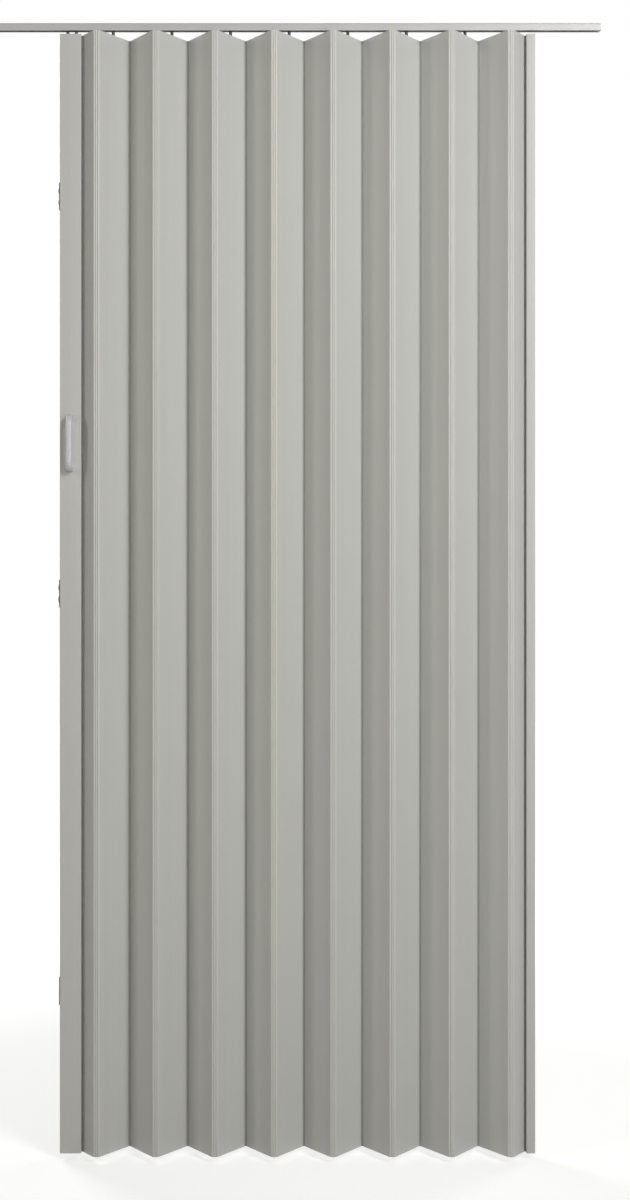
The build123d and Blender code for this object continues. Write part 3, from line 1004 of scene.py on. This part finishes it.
def make_handle(name, node, side, sizes):
    """Bow handle; side is -1 on the front face and +1 behind."""
    low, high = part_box(node)
    centre_x = (low.x + high.x) / 2
    middle = (low.z + high.z) / 2
    face = lead_post_low.y if side < 0 else lead_post_high.y
    ring_level = -sizes.handle_ring_drop
    rings = []
    for out, along, lean in handle_path(sizes, high.z - low.z):
        ring = []
        for across, thick in handle_section(sizes):
            push = thick
            if side < 0 and thick > 0:
                away = hypot(across, along - ring_level) - sizes.handle_ring
                push -= sizes.ring_depth * max(0.0, 1 - (away / sizes.ring_groove) ** 2)
            z = along - push * cos(lean)
            y = out + push * sin(lean)
            ring.append(Vector((centre_x + across, face + side * y, middle + z)))
        rings.append(ring)
    mesh = bmesh.new()
    add_tube(mesh, rings)
    return stand_in(name, mesh, "handle_plastic", node, 50)


def add_screw(mesh, place, tip, sizes):
    """Pan-head screw whose head sits at height 0 of place, with its tip below."""
    head, shank, height = sizes.screw_head, sizes.screw_shank, sizes.screw_head_height
    profile = [
        (shank * 0.35, tip), (shank, tip + shank), (shank, 0),
        (head * 0.97, 0), (head, height * 0.08), (head, height * 0.4),
        (head * 0.93, height * 0.72), (head * 0.74, height * 0.93), (head * 0.5, height),
    ]
    add_turned(mesh, profile, place, 36)


def cross_cutter(place, sizes):
    """One bar of the cross recess in a screw's head."""
    long, wide = sizes.screw_head * 0.52, sizes.screw_head * 0.14
    deep = sizes.screw_head_height * 0.6
    return cutter(block(-long, -wide, long, wide), place, -deep, sizes.screw_head)


class FOLDINGDOOR_OT_handles(bpy.types.Operator):
    """Make the bow handles and their screws"""
    bl_idname = "folding_door.handles"
    bl_label = "Handles"

    def execute(self, context):
        sizes = context.scene.folding_door_sizes
        make_handle("bow_handle_front", "handle_front", -1, sizes)
        back = make_handle("bow_handle_back", "handle_back", 1, sizes)
        seat = lead_post_high.y + sizes.screw_seat
        recess = round_outline(sizes.screw_head + sizes.screw_clearance, 36)
        bore = round_outline(sizes.screw_shank + sizes.bead_clearance, 28)
        cutters = []
        mesh = bmesh.new()
        low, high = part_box("handle_screws")
        middle = (low.x + high.x) / 2
        for level in handle_levels():
            place = plane((middle, seat, level), (1, 0, 0), (0, 1, 0))
            cutters.append(cutter(recess, place, 0, sizes.handle_standoff))
            cutters.append(cutter(bore, place, -sizes.screw_seat * 1.5, sizes.screw_seat))
            add_screw(mesh, place, low.y - seat, sizes)
        cut(back, cutters, 50)
        screws = stand_in("pan_head_screws", mesh, "plated_steel", "handle_screws")
        cut(screws, [cross_cutter(plane((middle, high.y, level), turn, (0, 1, 0)), sizes)
                     for level in handle_levels() for turn in ((1, 0, 1), (1, 0, -1))])
        return {"FINISHED"}


# Catches

def make_catch(node, humps, sizes):
    """Pressed plate over the closing groove, with or without its two humps."""
    low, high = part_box(node)
    middle = (low.z + high.z) / 2
    half_long, half_wide = (high.z - low.z) / 2, (high.y - low.y) / 2
    face = lead_post_low.x
    steps_long, steps_wide = 60, 20

    def height(u, v):
        """Plate's height over the post's edge at a place on it."""
        edge = min(half_long - abs(u), half_wide - abs(v))
        if edge < sizes.catch_round:
            t = 1 - max(edge, 0.0) / sizes.catch_round
            rise = sizes.catch_proud - sizes.catch_round * (1 - (1 - t * t) ** 0.5)
        else:
            rise = sizes.catch_proud
        if humps:
            for centre in (-sizes.hump_spacing / 2, sizes.hump_spacing / 2):
                along = (u - centre) / (sizes.hump_height / 2)
                across = v / (sizes.hump_width / 2)
                far = along ** 2 + across ** 4
                if far < 1:
                    rise += sizes.hump_rise * (1 - far) ** 0.8
        return rise

    mesh = bmesh.new()
    grid = []
    for i in range(steps_long + 1):
        u = half_long * (2 * i / steps_long - 1)
        row = []
        for k in range(steps_wide + 1):
            v = half_wide * (2 * k / steps_wide - 1)
            row.append(mesh.verts.new((face - height(u, v), v, middle + u)))
        grid.append(row)
    faces = []
    for row, above in zip(grid, grid[1:]):
        for k in range(steps_wide):
            faces.append(mesh.faces.new((row[k], row[k + 1], above[k + 1], above[k])))
    far_side = [row[-1] for row in grid[1:]]
    near_side = [row[0] for row in grid[-2:0:-1]]
    rim = [*grid[0], *far_side, *grid[-1][-2::-1], *near_side]
    base = [mesh.verts.new((face, vertex.co.y, vertex.co.z)) for vertex in rim]
    for i in range(len(rim)):
        k = (i + 1) % len(rim)
        faces.append(mesh.faces.new((rim[i], rim[k], base[k], base[i])))
    centre = mesh.verts.new((face, 0, middle))
    for i in range(len(base)):
        faces.append(mesh.faces.new((base[i], base[(i + 1) % len(base)], centre)))
    bmesh.ops.recalc_face_normals(mesh, faces=faces)
    clear = sizes.foot_clearance
    half_foot = sizes.foot_height / 2
    neck, tee = sizes.groove_mouth / 2 - clear, sizes.groove_width / 2 - clear
    inside = face + sizes.post_wall + clear
    behind = inside + sizes.groove_depth - 2 * clear
    foot = [(face, -neck), (inside, -neck), (inside, -tee), (behind, -tee),
            (behind, tee), (inside, tee), (inside, neck), (face, neck)]
    add_prism(mesh, foot, upright, middle - half_foot, middle + half_foot)
    stand_in(f"pressed_{node}", mesh, "blackened_steel", node)


class FOLDINGDOOR_OT_catches(bpy.types.Operator):
    """Make the steel catches on the closing edge"""
    bl_idname = "folding_door.catches"
    bl_label = "Catches"

    def execute(self, context):
        sizes = context.scene.folding_door_sizes
        make_catch("catch_upper", True, sizes)
        make_catch("catch_middle", True, sizes)
        make_catch("catch_lower", False, sizes)
        return {"FINISHED"}


# Stage

def add_light(name, power, extent, place, target, tint):
    """Soft rectangular lamp that faces the target."""
    data = bpy.data.lights.new(name, "AREA")
    data.color = tint
    data.shape = "RECTANGLE"
    data.size, data.size_y = extent
    data.energy = power
    light = bpy.data.objects.new(name, data)
    light.location = place
    light.rotation_euler = (Vector(target) - Vector(place)).to_track_quat("-Z", "Y").to_euler()
    light.visible_camera = False
    bpy.context.scene.collection.objects.link(light)


def mixed_shaders(tree, hidden, seen):
    """The second shader for rays that show the background itself, and the first for all others."""
    path = add_node(tree, "LightPath").outputs
    mirror = arithmetic(tree, "MAXIMUM", path["Is Glossy Ray"], path["Is Transmission Ray"])
    direct = arithmetic(tree, "MAXIMUM", path["Is Camera Ray"], mirror)
    return add_node(tree, "MixShader", {"Fac": direct, 1: hidden.outputs[0], 2: seen.outputs[0]})


def make_world(ambient):
    """Even light of the room, which reads as white where it is seen."""
    world = bpy.data.worlds.new("studio")
    world.use_nodes = True
    tree = world.node_tree
    room = tree.nodes["Background"]
    fill_inputs(tree, room, {"Color": (1.0, 0.995, 0.985, 1.0), "Strength": ambient})
    white = add_node(tree, "Background", {"Color": (1.0, 1.0, 1.0, 1.0), "Strength": 1.0})
    mix = mixed_shaders(tree, room, white)
    fill_inputs(tree, tree.nodes["World Output"], {"Surface": mix.outputs[0]})
    bpy.context.scene.world = world


def floor_finish(depth):
    """Pale floor at a depth under the origin, white where it is seen apart from the door's shadow."""
    material = bpy.data.materials.new("pale_floor")
    material.use_nodes = True
    tree = material.node_tree
    shader = tree.nodes["Principled BSDF"]
    fill_inputs(tree, shader, {
        "Base Color": (0.55, 0.55, 0.54, 1.0), "Roughness": 0.9, "Specular IOR Level": 0.1,
    })
    away = add_node(tree, "VectorMath", {0: own_place(tree)}, operation="LENGTH").outputs["Value"]
    near, far = depth + 0.25, depth + 1.6
    lift_near, lift_far = 0.58, 1.0
    strength = span(tree, away, lift_near, lift_far, near, far)
    lift = add_node(tree, "Emission", {"Strength": strength})
    both = add_node(tree, "AddShader", {0: shader.outputs[0], 1: lift.outputs[0]})
    mix = mixed_shaders(tree, shader, both)
    fill_inputs(tree, tree.nodes["Material Output"], {"Surface": mix.outputs[0]})
    return material


class FOLDINGDOOR_OT_stage(bpy.types.Operator):
    """Make the camera, the soft lights and the pale floor"""
    bl_idname = "folding_door.stage"
    bl_label = "Stage"

    def execute(self, context):
        studio = context.scene.folding_door_studio
        camera_data = bpy.data.cameras.new("camera")
        camera_data.lens = studio.lens
        camera = bpy.data.objects.new("camera", camera_data)
        camera.location = studio.camera_place
        camera.rotation_euler = (pi / 2, 0, 0)
        context.scene.collection.objects.link(camera)
        context.scene.camera = camera
        middle = (cad_box[0] + cad_box[1]) / 2
        white = (1.0, 1.0, 1.0)
        lamps = [
            ("key", studio.key_power, (0.95, 1.2), (1.45, -2.4, 0.5), white),
            ("low", studio.low_power, (0.9, 1.2), (1.6, -2.4, -1.0), white),
            ("fill", studio.fill_power, (0.9, 1.2), (-2.8, -2.0, 0.0), studio.fill_tint),
            ("front", studio.front_power, (0.9, 1.2), (0.3, -2.8, -0.3), white),
            ("rear_left", studio.rear_power, (1.2, 1.6), (-1.7, 2.4, 0.3), white),
            ("rear_right", studio.rear_power * 0.6, (1.2, 1.6), (2.2, 2.2, -0.2), white),
        ]
        for name, power, extent, place, tint in lamps:
            add_light(name, power, extent, place, middle, tint)
        make_world(studio.ambient)
        mesh = bmesh.new()
        reach = 12.0
        level = door_bottom - studio.floor_gap
        corners = [(-reach, -reach), (reach, -reach), (reach, reach), (-reach, reach)]
        mesh.faces.new([mesh.verts.new((x, y, level)) for x, y in corners])
        floor = new_object("floor", mesh)
        floor.data.materials.append(floor_finish(-level))
        floor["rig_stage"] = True
        context.scene.view_settings.view_transform = "Standard"
        return {"FINISHED"}


class FOLDINGDOOR_PT_sidebar(bpy.types.Panel):
    """Lists the steps of the folding door"""
    bl_idname = "FOLDINGDOOR_PT_sidebar"
    bl_label = "Folding door"
    bl_space_type = "VIEW_3D"
    bl_region_type = "UI"
    bl_category = "Folding door"

    def draw(self, context):
        for step in build_steps:
            self.layout.operator(step.bl_idname)


build_steps = (
    FOLDINGDOOR_OT_stage,
    FOLDINGDOOR_OT_track,
    FOLDINGDOOR_OT_posts,
    FOLDINGDOOR_OT_slats,
    FOLDINGDOOR_OT_strips,
    FOLDINGDOOR_OT_glides,
    FOLDINGDOOR_OT_handles,
    FOLDINGDOOR_OT_catches,
)
groups = (FoldingDoorSizes, FoldingDoorFinish, FoldingDoorStudio)


def register():
    for item in (*groups, *build_steps, FOLDINGDOOR_PT_sidebar):
        bpy.utils.register_class(item)
    bpy.types.Scene.folding_door_sizes = bpy.props.PointerProperty(type=FoldingDoorSizes)
    bpy.types.Scene.folding_door_finish = bpy.props.PointerProperty(type=FoldingDoorFinish)
    bpy.types.Scene.folding_door_studio = bpy.props.PointerProperty(type=FoldingDoorStudio)


def unregister():
    del bpy.types.Scene.folding_door_studio
    del bpy.types.Scene.folding_door_finish
    del bpy.types.Scene.folding_door_sizes
    for item in reversed((*groups, *build_steps, FOLDINGDOOR_PT_sidebar)):
        bpy.utils.unregister_class(item)


def main():
    register()
    for step in build_steps:
        name = step.bl_idname.split(".")[1]
        getattr(bpy.ops.folding_door, name)()
    visual_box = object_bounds()
    [[list(corner) for corner in box] for box in (cad_box, visual_box)]


if __name__ == "__main__":
    main()
